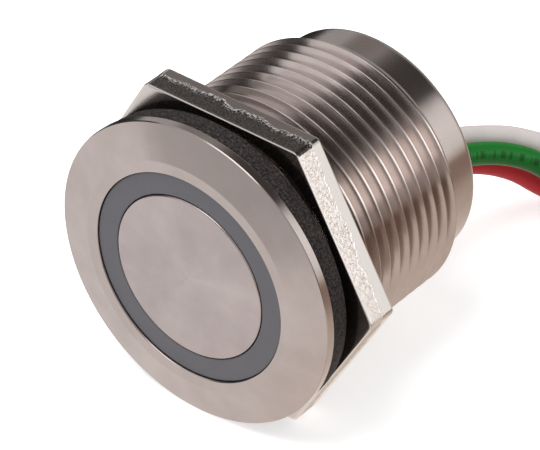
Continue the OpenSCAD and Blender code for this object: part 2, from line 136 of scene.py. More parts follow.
def roundedOutline(corners, steps=5):
    # straight lines between corners (radius, y, rounding), each rounding an arc; one more row beside each
    # arc, a share of its rounding away, keeps the flats flat
    hold = 0.3
    points = []
    for i, (radius, y, rounding) in enumerate(corners):
        here = np.array([radius, y], float)
        if rounding == 0:
            points.append(here)
            continue
        before = np.array(corners[i - 1][:2]) - here
        after = np.array(corners[(i + 1) % len(corners)][:2]) - here
        before, after = before / np.linalg.norm(before), after / np.linalg.norm(after)
        half = np.arccos(np.clip(before @ after, -1, 1)) / 2
        middle = before + after
        centre = here + middle / np.linalg.norm(middle) * rounding / np.sin(half)
        start, end = here + before * rounding / np.tan(half), here + after * rounding / np.tan(half)
        swept = np.pi - 2 * half
        share = np.linspace(0, 1, steps + 1)[:, None]
        arc = np.sin((1 - share) * swept) * (start - centre) + np.sin(share * swept) * (end - centre)
        points.append(start + before * rounding * hold)
        points.extend(centre + arc / np.sin(swept))
        points.append(end + after * rounding * hold)
    return np.array(points)


def turned(outline, angles):
    # carries each (radius, y) of the outline round the switch's axis: x = r sin a, z = r cos a
    radius, y = outline[:, 0, None], outline[:, 1, None]
    return np.stack([radius * np.sin(angles), y + 0 * angles, radius * np.cos(angles)], axis=-1) * mm


def fullTurn(sides):
    return np.linspace(0, 2 * np.pi, sides, endpoint=False)


def latticeNoise(points, cell, seed):
    # random values on a cubic lattice, blended smoothly between its corners; the result runs from 0 to 1
    period = 32  # cells, after which the lattice repeats
    table = np.random.default_rng(seed).random((period, period, period))
    place = points / cell
    base = np.floor(place).astype(int)
    share = place - base
    share = share * share * (3 - 2 * share)
    total = np.zeros(points.shape[:-1])
    for corner in range(8):
        step = np.array([corner & 1, corner >> 1 & 1, corner >> 2 & 1])
        at = (base + step) % period
        weight = np.prod(np.where(step == 1, share, 1 - share), axis=-1)
        total += weight * table[at[..., 0], at[..., 1], at[..., 2]]
    return total


def sweptTube(path, radius, sides, upright=(0, 0, 1)):
    # rings of points round a path: each ring lies across the path, and the ends close on the path itself; a
    # point's place is its distance along the path, then the cosine and sine of its angle round the path
    heading = np.gradient(path, axis=0)
    heading /= np.linalg.norm(heading, axis=1)[:, None]
    side = np.cross(heading, upright)
    side /= np.linalg.norm(side, axis=1)[:, None]
    up = np.cross(side, heading)
    a = fullTurn(sides)
    rings = path[:, None] + radius * (np.cos(a)[:, None] * side[:, None] + np.sin(a)[:, None] * up[:, None])
    ends = np.repeat(path[[0, -1], None], sides, axis=1)
    along = np.concatenate([[0], np.cumsum(np.linalg.norm(np.diff(path, axis=0), axis=1))])
    along = np.concatenate([along[:1], along, along[-1:]])
    place = np.stack(np.broadcast_arrays(along[:, None], np.cos(a), np.sin(a)), axis=-1)
    return np.concatenate([ends[:1], rings, ends[1:]]), place.reshape(-1, 3)


# Materials

def startMaterial(name):
    material = bpy.data.materials.new(name)
    material.use_nodes = True
    tree = material.node_tree
    tree.nodes.clear()
    return material, tree, addNode(tree, "ShaderNodeTexCoord").outputs["Object"]


def finishMaterial(tree, values, links):
    # what is the same all over stands on the shader's own sockets
    shader = addNode(tree, "ShaderNodeBsdfPrincipled", values, links)
    addNode(tree, "ShaderNodeOutputMaterial", links={"Surface": shader.outputs[0]})


def turnedSteel(name, look):
    # 304 stainless turned on a lathe: fine rings round the axis, which stretch each highlight across them
    markDepth, grainSize, cloudSize = 0.02, 0.11, 2.6  # millimetres
    uneven = 0.03  # how far the roughness strays either way
    material, tree, place = startMaterial(name)
    axes = addNode(tree, "ShaderNodeSeparateXYZ", links={0: place})
    flat = addNode(tree, "ShaderNodeCombineXYZ", links={0: axes.outputs["X"], 2: axes.outputs["Z"]})
    radius = addNode(tree, "ShaderNodeVectorMath", links={0: flat.outputs[0]}, operation="LENGTH")
    path = addNode(tree, "ShaderNodeMath", operation="SUBTRACT",
                   links={0: radius.outputs["Value"], 1: axes.outputs["Y"]})
    # tool marks, one every groove millimetres along the outline
    marks = addNode(tree, "ShaderNodeMath", {1: 1 / (look["groove"] * mm)}, {0: path.outputs[0]},
                    operation="MULTIPLY")
    rings = addNode(tree, "ShaderNodeTexNoise", {"Scale": 1.0, "Detail": 3.0, "Roughness": 0.7},
                    {"W": marks.outputs[0]}, noise_dimensions="1D")
    # grain left by the last pass, drawn at about 0.1 mm so that it shows
    grain = addNode(tree, "ShaderNodeTexNoise", {"Scale": 1 / (grainSize * mm), "Detail": 2.0},
                    {"Vector": place})
    relief = addNode(tree, "ShaderNodeMix", {0: look["grain"]},
                     {2: rings.outputs["Fac"], 3: grain.outputs["Fac"]})
    bump = addNode(tree, "ShaderNodeBump", {"Strength": look["relief"], "Distance": markDepth * mm},
                   {"Height": relief.outputs[0]})
    # handling leaves soft clouds a few millimetres wide
    clouds = addNode(tree, "ShaderNodeTexNoise",
                     {"Scale": 1 / (cloudSize * mm), "Detail": 3.0, "Roughness": 0.55},
                     {"Vector": place})
    # painted sheen: fans of reflection spreading from the axis, which change only with the angle round it
    spoke = addNode(tree, "ShaderNodeVectorMath", links={0: flat.outputs[0]}, operation="NORMALIZE")
    fanSheen = addNode(tree, "ShaderNodeTexNoise", {"Scale": 1.6, "Detail": 2.0}, {"Vector": spoke.outputs[0]})
    # tint and roughness follow the handling clouds and the painted fans of reflection together
    both = addNode(tree, "ShaderNodeMix", {0: look["fanSheen"]},
                   {2: clouds.outputs["Fac"], 3: fanSheen.outputs["Fac"]})
    patches = addNode(tree, "ShaderNodeMapRange", {1: 0.3, 2: 0.7}, {0: both.outputs[0]})
    tint = addNode(tree, "ShaderNodeMix", {6: linearColour(look["dark"]), 7: linearColour(look["light"])},
                   {0: patches.outputs[0]}, data_type="RGBA")
    dull = addNode(tree, "ShaderNodeMapRange",
                   {3: look["roughness"] + uneven, 4: look["roughness"] - uneven}, {0: patches.outputs[0]})
    # the way the highlights stretch: across the rings, along the outline
    around = addNode(tree, "ShaderNodeMath", {1: -1.0}, {0: axes.outputs["X"]}, operation="MULTIPLY")
    circle = addNode(tree, "ShaderNodeCombineXYZ", links={0: axes.outputs["Z"], 2: around.outputs[0]})
    facing = addNode(tree, "ShaderNodeTexCoord").outputs["Normal"]
    across = addNode(tree, "ShaderNodeVectorMath", links={0: facing, 1: circle.outputs[0]},
                     operation="CROSS_PRODUCT")
    tangent = addNode(tree, "ShaderNodeVectorMath", links={0: across.outputs[0]}, operation="NORMALIZE")
    finishMaterial(tree, {"Metallic": 1.0, "Anisotropic": look["stretch"]}, {
        "Base Color": tint.outputs[2], "Roughness": dull.outputs[0], "Normal": bump.outputs[0],
        "Tangent": tangent.outputs[0]})
    return material


# fanSheen sets how much of the painted fan-shaped reflection shows
bodySteel = turnedSteel("turnedStainless", {
    "light": "#bcb1ad", "dark": "#b1a6a1", "roughness": 0.17, "stretch": 0.8, "fanSheen": 0.2,
    "groove": 0.09, "grain": 0.4, "relief": 0.14})
faceSteel = turnedSteel("brushedStainlessFace", {
    "light": "#beb4b1", "dark": "#aea3a2", "roughness": 0.27, "stretch": 0.75, "fanSheen": 0.4,
    "groove": 0.07, "grain": 0.45, "relief": 0.24})


def nickelPlate():
    # nickel plate over a stamped steel nut: bright on the sheared band, and dull, grained and cracked where
    # the steel tore;
    # between the two runs a crinkled seam, with a painted highlight on each crest of its crinkle and
    # painted shade in each hollow
    look = {
        "light": "#e6dfda", "dark": "#3b332d",
        "sheared": 0.17, "torn": 0.35,  # roughness
        "grain": 0.1, "crack": 0.38, "crinkle": 0.13,  # sizes in millimetres
        "grainDepth": 0.05, "crinkleDepth": 0.35,  # and depths
        "crackWidth": 0.03, "cracks": 0.3, "pits": 0.2, "pitsFromShade": 0.7,
        # painted shade for the seam's hollow grains and painted highlight for its crest grains
        "black": 0.7, "crestHighlight": 0.9,  # how much darker and how much brighter the seam's grains are
        "smoothRelief": 0.06, "roughRelief": 0.45,
    }
    material, tree, place = startMaterial("nickelPlatedSteel")
    torn = addNode(tree, "ShaderNodeAttribute", attribute_name="torn")
    seam = addNode(tree, "ShaderNodeAttribute", attribute_name="seam")
    # painted shade for each run of each side, standing in for how the light falls on that side
    paintedShade = addNode(tree, "ShaderNodeAttribute", attribute_name="paintedShade")
    grain = addNode(tree, "ShaderNodeTexNoise",
                    {"Scale": 1 / (look["grain"] * mm), "Detail": 3.0, "Roughness": 0.65},
                    {"Vector": place})
    # cracks follow the lines where a slow noise passes its middle value
    slow = addNode(tree, "ShaderNodeTexNoise",
                   {"Scale": 1 / (look["crack"] * mm), "Detail": 3.0, "Roughness": 0.6},
                   {"Vector": place})
    offset = addNode(tree, "ShaderNodeMath", {1: 0.5}, {0: slow.outputs["Fac"]}, operation="SUBTRACT")
    away = addNode(tree, "ShaderNodeMath", links={0: offset.outputs[0]}, operation="ABSOLUTE")
    crack = addNode(tree, "ShaderNodeMapRange", {1: 0.0, 2: look["crackWidth"]}, {0: away.outputs[0]})
    hollow = addNode(tree, "ShaderNodeMath", {0: 1.0}, {1: crack.outputs[0]}, operation="SUBTRACT")
    either = addNode(tree, "ShaderNodeMath", links={0: torn.outputs["Fac"], 1: seam.outputs["Fac"]},
                     operation="MAXIMUM")
    # darker along the cracks of the torn zone
    crackDark = addNode(tree, "ShaderNodeMath", links={0: hollow.outputs[0], 1: torn.outputs["Fac"]},
                   operation="MULTIPLY")
    # the more painted shade a side has, the more of its pits are black
    deep = addNode(tree, "ShaderNodeMath", {1: look["pitsFromShade"], 2: look["pits"]},
                   {0: paintedShade.outputs["Fac"]}, operation="MULTIPLY_ADD")
    pits = addNode(tree, "ShaderNodeMapRange", {1: 0.5, 2: 0.66},
                   {0: grain.outputs["Fac"], 4: deep.outputs[0]})
    pitted = addNode(tree, "ShaderNodeMath", links={0: pits.outputs[0], 1: either.outputs[0]},
                     operation="MULTIPLY")
    faint = addNode(tree, "ShaderNodeMath", {1: look["cracks"]},
                    {0: crackDark.outputs[0], 2: pitted.outputs[0]}, operation="MULTIPLY_ADD")
    marked = addNode(tree, "ShaderNodeMath", links={0: faint.outputs[0], 1: paintedShade.outputs["Fac"]},
                     operation="ADD")
    # along the seam the crinkle's crests get a painted highlight and its hollows painted shade
    crinkle = addNode(tree, "ShaderNodeTexNoise",
                      {"Scale": 1 / (look["crinkle"] * mm), "Detail": 2.0, "Roughness": 0.6},
                      {"Vector": place})
    specks = addNode(tree, "ShaderNodeMapRange", {1: 0.47, 2: 0.55, 3: look["black"], 4: -look["crestHighlight"]},
                     {0: crinkle.outputs["Fac"]})
    share = addNode(tree, "ShaderNodeMath", operation="MULTIPLY_ADD", use_clamp=True,
                    links={0: seam.outputs["Fac"], 1: specks.outputs[0], 2: marked.outputs[0]})
    tint = addNode(tree, "ShaderNodeMix", {6: linearColour(look["light"]), 7: linearColour(look["dark"])},
                   {0: share.outputs[0]}, data_type="RGBA")
    dull = addNode(tree, "ShaderNodeMapRange", {3: look["sheared"], 4: look["torn"]},
                   {0: torn.outputs["Fac"]})
    lines = addNode(tree, "ShaderNodeMath", links={0: crack.outputs[0], 1: torn.outputs["Fac"]},
                    operation="MULTIPLY")
    height = addNode(tree, "ShaderNodeMix", {0: 0.5}, {2: lines.outputs[0], 3: grain.outputs["Fac"]})
    amount = addNode(tree, "ShaderNodeMapRange", {3: look["smoothRelief"], 4: look["roughRelief"]},
                     {0: either.outputs[0]})
    fine = addNode(tree, "ShaderNodeBump", {"Distance": look["grainDepth"] * mm},
                   {"Strength": amount.outputs[0], "Height": height.outputs[0]})
    bump = addNode(tree, "ShaderNodeBump", {"Distance": look["crinkleDepth"] * mm},
                   {"Strength": seam.outputs["Fac"], "Height": crinkle.outputs["Fac"],
                    "Normal": fine.outputs[0]})
    finishMaterial(tree, {"Metallic": 1.0}, {
        "Base Color": tint.outputs[2], "Roughness": dull.outputs[0], "Normal": bump.outputs[0]})
    return material


def foamRubber():
    # closed-cell neoprene foam, die-cut: black, dull, with the light that its cut cells catch painted as
    # pale specks
    look = {"black": "#120f0f", "grey": "#4d4543", "cell": 0.12, "cellDepth": 0.06, "speck": 0.15}
    material, tree, place = startMaterial("neopreneFoam")
    cells = addNode(tree, "ShaderNodeTexVoronoi", {"Scale": 1 / (look["cell"] * mm)},
                    {"Vector": place})
    noise = addNode(tree, "ShaderNodeTexNoise", {"Scale": 1 / (look["speck"] * mm), "Detail": 4.0},
                    {"Vector": place})
    # painted highlights: pale specks where cut cells would catch the light
    specks = addNode(tree, "ShaderNodeMapRange", {1: 0.42, 2: 0.75}, {0: noise.outputs["Fac"]})
    tint = addNode(tree, "ShaderNodeMix", {6: linearColour(look["black"]), 7: linearColour(look["grey"])},
                   {0: specks.outputs[0]}, data_type="RGBA")
    bump = addNode(tree, "ShaderNodeBump", {"Strength": 0.8, "Distance": look["cellDepth"] * mm},
                   {"Height": cells.outputs["Distance"]})
    finishMaterial(tree, {"Roughness": 0.75, "Specular IOR Level": 0.35},
                   {"Base Color": tint.outputs[2], "Normal": bump.outputs[0]})
    return material


def mouldedPlastic(name, look):
    # a moulded or coated part: one colour with a faint mottle and a fine moulded grain
    mottleSize, grainDepth = 1.5, 0.03  # millimetres
    material, tree, place = startMaterial(name)
    mottle = addNode(tree, "ShaderNodeTexNoise", {"Scale": 1 / (mottleSize * mm), "Detail": 3.0},
                     {"Vector": place})
    tint = addNode(tree, "ShaderNodeMix", {6: linearColour(look["dark"]), 7: linearColour(look["light"])},
                   {0: mottle.outputs["Fac"]}, data_type="RGBA")
    grain = addNode(tree, "ShaderNodeTexNoise", {"Scale": 1 / (look["grain"] * mm), "Detail": 2.0},
                    {"Vector": place})
    bump = addNode(tree, "ShaderNodeBump", {"Strength": look["relief"], "Distance": grainDepth * mm},
                   {"Height": grain.outputs["Fac"]})
    finishMaterial(tree, {"Roughness": look["roughness"], "IOR": look.get("ior", 1.5)},
                   {"Base Color": tint.outputs[2], "Normal": bump.outputs[0]})
    return material


def drawnMetal(name, look):
    # wire, pin or stamped strip: bright metal with faint draw marks
    markSize, markDepth = 0.12, 0.02  # millimetres
    material, tree, place = startMaterial(name)
    marks = addNode(tree, "ShaderNodeTexNoise", {"Scale": 1 / (markSize * mm), "Detail": 3.0},
                    {"Vector": place})
    tint = addNode(tree, "ShaderNodeMix", {6: linearColour(look["dark"]), 7: linearColour(look["light"])},
                   {0: marks.outputs["Fac"]}, data_type="RGBA")
    bump = addNode(tree, "ShaderNodeBump", {"Strength": 0.2, "Distance": markDepth * mm},
                   {"Height": marks.outputs["Fac"]})
    finishMaterial(tree, {"Metallic": 1.0, "Roughness": look["roughness"]},
                   {"Base Color": tint.outputs[2], "Normal": bump.outputs[0]})
    return material


def leadSheath(name, look):
    # soft PVC insulation: satin and very slightly uneven, with plain dashes where print would be
    dash, mottleSize, mottleDepth = 0.55, 1.2, 0.05  # millimetres
    material, tree, place = startMaterial(name)
    along = addNode(tree, "ShaderNodeAttribute", attribute_name="leadPlace")
    axes = addNode(tree, "ShaderNodeSeparateXYZ", links={0: along.outputs["Vector"]})
    steps = addNode(tree, "ShaderNodeMath", {1: 1 / (dash * mm)}, {0: axes.outputs["X"]},
                    operation="MULTIPLY")
    dashes = addNode(tree, "ShaderNodeTexNoise", {"Scale": 1.0, "Detail": 1.0}, {"W": steps.outputs[0]},
                     noise_dimensions="1D")
    cut = addNode(tree, "ShaderNodeMapRange", {1: 0.5, 2: 0.56}, {0: dashes.outputs["Fac"]})
    # the print runs along one line of the sheath, about 0.5 mm wide; printHeight is the sine of its angle,
    # and 2 is out of reach
    line = addNode(tree, "ShaderNodeMath", {1: look["printHeight"]}, {0: axes.outputs["Z"]},
                   operation="SUBTRACT")
    away = addNode(tree, "ShaderNodeMath", links={0: line.outputs[0]}, operation="ABSOLUTE")
    near = addNode(tree, "ShaderNodeMapRange", {1: 0.34, 2: 0.24}, {0: away.outputs[0]})
    marks = addNode(tree, "ShaderNodeMath", links={0: cut.outputs[0], 1: near.outputs[0]},
                    operation="MULTIPLY")
    share = addNode(tree, "ShaderNodeMath", {1: look["print"]}, {0: marks.outputs[0]}, operation="MULTIPLY")
    mottle = addNode(tree, "ShaderNodeTexNoise", {"Scale": 1 / (mottleSize * mm), "Detail": 3.0},
                     {"Vector": place})
    tint = addNode(tree, "ShaderNodeMix", {6: linearColour(look["dark"]), 7: linearColour(look["light"])},
                   {0: mottle.outputs["Fac"]}, data_type="RGBA")
    ink = addNode(tree, "ShaderNodeMix", {7: linearColour(look["ink"])},
                  {0: share.outputs[0], 6: tint.outputs[2]}, data_type="RGBA")
    bump = addNode(tree, "ShaderNodeBump", {"Strength": 0.15, "Distance": mottleDepth * mm},
                   {"Height": mottle.outputs["Fac"]})
    finishMaterial(tree, {"Roughness": 0.4, "Specular IOR Level": 0.2},
                   {"Base Color": ink.outputs[2], "Normal": bump.outputs[0]})
    return material


nutNickel = nickelPlate()
gasketFoam = foamRubber()
copperWire = drawnMetal("bareCopper", {"light": "#d9a27c", "dark": "#b9754c", "roughness": 0.3})
springWire = drawnMetal("springSteel", {"light": "#c4c1bd", "dark": "#98948f", "roughness": 0.28})
ringDiffuser = mouldedPlastic("smokePolycarbonate", {
    "light": "#5b5a60", "dark": "#545359", "grain": 0.12, "relief": 0.1, "roughness": 0.42, "ior": 1.58})
pottingResin = mouldedPlastic("epoxyPotting", {
    "light": "#2b2a2d", "dark": "#1e1d20", "grain": 0.9, "relief": 0.2, "roughness": 0.22, "ior": 1.55})
print("materials made")


# Leads, each with its spare length coiled on the floor

leads = {
    "colours": ("white", "green", "red"), "diameter": 1.6, "start": 14.4, "sides": 28, "stepsBetween": 3,
    "core": 0.7, "coreInside": 1.0, "bareLength": 2.0, "coreSides": 16, "coreSteps": 6,
    "coilCentre": (20.6, 30.0), "coilRadius": 11.0, "turns": 2, "pitch": 1.65, "stepsPerTurn": 36,
    "coilStart": 129,  # degrees round the coil, where the leads meet it
    # layer is the number of leads that lie under it in the coil; the route is in millimetres
    "white": {
        "place": (0, -2.9), "layer": 2, "printHeight": 2.0, "print": 0.0,
        "light": "#dad3d1", "dark": "#cfc8c6", "ink": "#8a8584", "slot": "white_pvc",
        "route": [(0, 17.9, -2.9), (0, 19.4, -2.9), (0.1, 21, -2.9), (0.2, 22.6, -3.1),
                  (0.5, 24.5, -3.5), (0.9, 26.5, -4), (1.5, 28.5, -4.7), (2.5, 30.3, -5.3),
                  (3.9, 31.6, -5.9), (5.5, 32.6, -6.5), (7.2, 33.6, -6.8), (8.8, 34.7, -6.9)]},
    "green": {
        "place": (1.7, -3.4), "layer": 1, "printHeight": 0.4, "print": 0.7,
        "light": "#1a7a2a", "dark": "#156923", "ink": "#0d3517", "slot": "green_pvc",
        "route": [(1.7, 17.9, -3.4), (1.7, 19.4, -3.4), (1.8, 21, -3.4), (1.9, 22.6, -3.6),
                  (2.3, 24.4, -3.8), (2.9, 26.2, -4.2), (3.7, 27.9, -4.8), (4.7, 29.4, -5.6),
                  (5.7, 30.7, -6.8), (6.7, 32, -7.9), (7.7, 33.3, -8.5), (8.8, 34.7, -8.55)]},
    "red": {
        "place": (0.5, -4.6), "layer": 0, "printHeight": 2.0, "print": 0.0,
        "light": "#e23c44", "dark": "#d2333c", "ink": "#6d1f22", "slot": "red_pvc",
        "route": [(0.5, 17.9, -4.6), (0.5, 19.4, -4.6), (0.6, 21, -4.6), (0.7, 22.6, -4.8),
                  (1.1, 24.4, -5.1), (1.7, 26.3, -5.6), (2.5, 28.1, -6.3), (3.5, 29.8, -7.4),
                  (4.6, 31.2, -8.8), (5.9, 32.4, -9.8), (7.4, 33.5, -10.2), (8.8, 34.7, -10.2)]},
}


def coilPath(layer):
    # a flat spiral wound inwards: the radius falls by one pitch each turn, from where the lead meets it
    radius, pitch = leads["coilRadius"], leads["pitch"]
    centre = np.array(leads["coilCentre"])
    turn = np.linspace(0, 2 * np.pi * leads["turns"], leads["stepsPerTurn"] * leads["turns"] + 1)
    start = math.radians(leads["coilStart"])
    reach = radius - pitch * turn / (2 * np.pi)
    height = floorLevel + leads["diameter"] / 2 + layer * pitch
    return np.stack([centre[0] + reach * np.cos(start - turn), centre[1] + reach * np.sin(start - turn),
                     np.full_like(turn, height)], axis=-1)


def smoothPath(points, steps):
    # a curve through the points: on each stretch, the cubic that leaves and arrives along its neighbours
    points = np.array(points, float)
    slope = np.gradient(points, axis=0)
    share = np.linspace(0, 1, steps, endpoint=False)[:, None, None]
    a, b, sa, sb = points[:-1], points[1:], slope[:-1], slope[1:]
    curve = ((2 * share**3 - 3 * share**2 + 1) * a + (share**3 - 2 * share**2 + share) * sa
             + (3 * share**2 - 2 * share**3) * b + (share**3 - share**2) * sb)
    return np.concatenate([curve.transpose(1, 0, 2).reshape(-1, 3), points[-1:]])


def makeLeads():
    for colour in leads["colours"]:
        lead = leads[colour]
        first = (lead["place"][0], leads["start"], lead["place"][1])
        coil = coilPath(lead["layer"])
        free = smoothPath([first] + lead["route"] + [tuple(coil[0])], leads["stepsBetween"])
        free[:, 2] = np.maximum(free[:, 2], floorLevel + leads["diameter"] / 2)
        path = np.concatenate([free, coil[1:]]) * mm
        points, place = sweptTube(path, leads["diameter"] / 2 * mm, leads["sides"])
        faces = gridFaces(len(points), leads["sides"])
        tube = makePiece(colour + "Lead", points, faces, leadSheath(colour + "Pvc", lead), "switch",
                         ("lead_" + colour, "coil_" + colour), values={"leadPlace": place})
        tube.visible_glossy = False  # or the spare length would show in the neck
        # the stripped core runs straight on from the sheath's end
        heading = (path[-1] - path[-2]) / np.linalg.norm(path[-1] - path[-2])
        reach = np.linspace(-leads["coreInside"], leads["bareLength"], leads["coreSteps"])
        bare = path[-1] + reach[:, None] * heading * mm
        points, _ = sweptTube(bare, leads["core"] / 2 * mm, leads["coreSides"])
        faces = gridFaces(len(points), leads["coreSides"])
        core = makePiece(colour + "CoreEnd", points, faces, copperWire, "switch")
        core.visible_glossy = False


makeLeads()


# Housing: flange, thread and neck turned from one bar

housing = {
    "front": -1.25, "bore": 7.62, "band": 8.45, "bandRounding": 0.3, "drop": 0.6, "chamfer": 0.06,
    "flange": 11.0, "lipEnd": 0.9, "boreRounding": 0.09, "rimRounding": 0.02, "backRounding": 0.06,
    "threadStart": 0.9, "chamferStart": 14.9, "threadEnd": 15.4, "crest": 9.5, "root": 8.9, "pitch": 1.0,
    "runIn": 0.5, "rootRounding": 0.1,
    # share of the pitch and height above the root: root flat, flank at 60 degrees, rounded crest, flank
    "ridge": [(0, 0), (0.03, 0), (0.17, 0), (0.2, 0.01), (0.22, 0.045), (0.52, 0.545), (0.537, 0.578),
              (0.548, 0.594), (0.565, 0.6), (0.585, 0.6), (0.602, 0.594), (0.613, 0.578), (0.63, 0.545),
              (0.93, 0.045), (0.95, 0.01)],
    "neck": 8.5, "rearBore": 8.0, "end": 18.2, "neckRounding": 0.02, "rearRounding": 0.45,
    "mouthRounding": 0.04, "sides": 240,
}


def threadBlock():
    # radius is a function of how far a point lies along the pitch; each row climbs one pitch in a full
    # turn, and the spare turn at either end is pressed flat against it
    pitch, start, end = housing["pitch"], housing["threadStart"], housing["threadEnd"]
    share, height = np.array(housing["ridge"]).T
    per = len(share)
    rows = int(math.ceil((end - start) / pitch + 2)) * per
    row = np.arange(rows)[:, None]
    angle = fullTurn(housing["sides"])
    y = np.clip(start + pitch * (row // per + share[row % per] - 1 + angle / (2 * np.pi)), start, end)
    crest, root = housing["crest"], housing["root"]
    runIn = np.clip((y - start) / housing["runIn"], 0, 1)
    # the chamfer at the thread's end is a cone from the crests down to the root
    cone = crest - (crest - root) * (y - housing["chamferStart"]) / (end - housing["chamferStart"])
    radius = np.minimum(root + height[row % per] * runIn, np.maximum(cone, root))
    points = np.stack([radius * np.sin(angle), y, radius * np.cos(angle)], axis=-1) * mm
    # at the seam a row meets the row that lies one pitch further on
    quads = gridFaces(rows, housing["sides"]).reshape(rows - 1, housing["sides"], 4)
    seam = np.arange(rows - 1 - per)
    last = (housing["sides"] - 1) + seam * housing["sides"]
    joined = np.stack([last, (seam + per) * housing["sides"], (seam + per + 1) * housing["sides"],
                       last + housing["sides"]], axis=-1)
    return points, np.concatenate([quads[:, :-1].reshape(-1, 4), joined])


def makeHousing():
    front, lipEnd, bore, band = (housing[key] for key in ("front", "lipEnd", "bore", "band"))
    rim, root, neck, rearBore = (housing[key] for key in ("flange", "root", "neck", "rearBore"))
    bevelEnd = front + housing["drop"]
    frontPart = roundedOutline([
        (bore, lipEnd, 0), (bore, front, housing["boreRounding"]), (band, front, housing["bandRounding"]),
        (rim - housing["chamfer"], bevelEnd, housing["rimRounding"]),
        (rim, bevelEnd + housing["chamfer"], housing["rimRounding"]), (rim, 0, housing["backRounding"]),
        (root, 0, housing["rootRounding"]), (root, housing["threadStart"], 0)])
    rearPart = roundedOutline([
        (root, housing["threadEnd"], 0), (neck, housing["threadEnd"], housing["neckRounding"]),
        (neck, housing["end"], housing["rearRounding"]),
        (rearBore, housing["end"], housing["mouthRounding"]), (rearBore, lipEnd, 0)], steps=7)
    outline = np.concatenate([rearPart, frontPart])
    thread, threadFaces = threadBlock()
    blocks = [turned(outline, fullTurn(housing["sides"])).reshape(-1, 3), thread.reshape(-1, 3)]
    faces = np.concatenate([gridFaces(len(outline), housing["sides"]), threadFaces + len(blocks[0])])
    piece = makePiece("bodyShell", np.concatenate(blocks), faces, bodySteel, "switch",
                      ("housing",))
    print("housing made,", len(piece.data.polygons), "faces")


makeHousing()


# Button: face, seal groove, collar, hollow and boss in one turned cap

button = {
    "radius": 5.95, "front": -1.15, "edge": 0.12, "sides": 192,
    "groove": 5.25, "grooveStart": 0, "grooveEnd": 0.8, "grooveEdge": 0.03,
    "collar": 6.5, "collarStart": 1.22, "collarEnd": 1.92, "collarRoot": 0.02,
    "hollow": 4.75, "ceiling": -0.05, "ceilingRounding": 0.2,
    "boss": 2.2, "bossEnd": 1.35, "bossHole": 1.22, "brokenEdge": 0.05,
}


def makeButton():
    outer, front, ceiling, edge = (button[key] for key in ("radius", "front", "ceiling", "brokenEdge"))
    grooveStart, grooveEnd = button["grooveStart"], button["grooveEnd"]
    collarStart, collarEnd = button["collarStart"], button["collarEnd"]
    outline = roundedOutline([
        (0, front, 0), (outer, front, button["edge"]),
        (outer, grooveStart, button["grooveEdge"]), (button["groove"], grooveStart, edge),
        (button["groove"], grooveEnd, edge), (outer, grooveEnd, button["grooveEdge"]),
        (outer, collarStart, button["collarRoot"]), (button["collar"], collarStart, edge),
        (button["collar"], collarEnd, edge), (button["hollow"], collarEnd, edge),
        (button["hollow"], ceiling, button["ceilingRounding"]),
        (button["boss"], ceiling, button["ceilingRounding"]), (button["boss"], button["bossEnd"], edge),
        (button["bossHole"], button["bossEnd"], edge), (button["bossHole"], ceiling, 0), (0, ceiling, 0)])
    points = turned(outline, fullTurn(button["sides"]))
    faces = gridFaces(len(outline), button["sides"])
    makePiece("buttonCap", points, faces, faceSteel, "button", ("button_cap",))


makeButton()


# Light ring: smoke-grey diffuser with a shoulder and pockets over the lights

ring = {
    "inner": 6.0, "outer": 7.6, "front": -1.1, "shoulder": 7.95, "shoulderStart": 1.3, "end": 3.6,
    "counterbore": 6.6, "counterboreStart": 1.2, "frontRounding": 0.09, "rearRounding": 0.03,
    "pocketStart": 2.85, "pocketOut": 7.825, "pocketHalf": 7.6,  # the last in degrees
    "lights": 4, "firstLight": 45, "sides": 192,
}


def makeRing():
    # the inner rear wall steps out to the pocket's radius between the two sides of each pocket
    centres = np.radians(ring["firstLight"] + 360 * np.arange(ring["lights"]) / ring["lights"])
    half = math.radians(ring["pocketHalf"])
    hair = 1e-4  # radians, between the two rows of points at each side of a pocket
    edges = [centres + side * (half + step) for side in (-1, 1) for step in (0, hair)]
    angles = np.unique(np.concatenate([fullTurn(ring["sides"])] + edges))
    off = np.abs((angles[:, None] - centres + np.pi) % (2 * np.pi) - np.pi).min(axis=1)
    inner, outer, shoulder = ring["inner"], ring["outer"], ring["shoulder"]
    counterbore, pocketStart = ring["counterbore"], ring["pocketStart"]
    front, rear = ring["frontRounding"], ring["rearRounding"]
    outline = roundedOutline([
        (inner, ring["front"], front), (outer, ring["front"], front), (outer, ring["shoulderStart"], 0),
        (shoulder, ring["shoulderStart"], rear), (shoulder, ring["end"], rear),
        (counterbore, ring["end"], 0), (counterbore, pocketStart, 0),
        (counterbore - 1e-3, pocketStart, 0),  # a hair further in, so that only the rows behind it step out
        (counterbore, ring["counterboreStart"], 0), (inner, ring["counterboreStart"], rear)])
    points = turned(outline, angles)
    pocket = np.where(off < half + hair / 2, ring["pocketOut"], counterbore) * mm
    wall = np.flatnonzero((outline[:, 0] == counterbore) & (outline[:, 1] >= pocketStart))
    points[wall, :, 0], points[wall, :, 2] = pocket * np.sin(angles), pocket * np.cos(angles)
    faces = gridFaces(len(outline), len(angles), loop=True)
    makePiece("lightRing", points, faces, ringDiffuser, "switch", ("light_ring",))


makeRing()
print("button and ring made")


# Foam gasket

gasket = {
    "inner": 9.55, "outer": 10.9, "thickness": 1.5, "bulge": 0.12, "crush": 0.05, "sides": 560, "rows": 16,
    "cell": 0.22, "lump": 0.6, "lumpShare": 0.6,
}


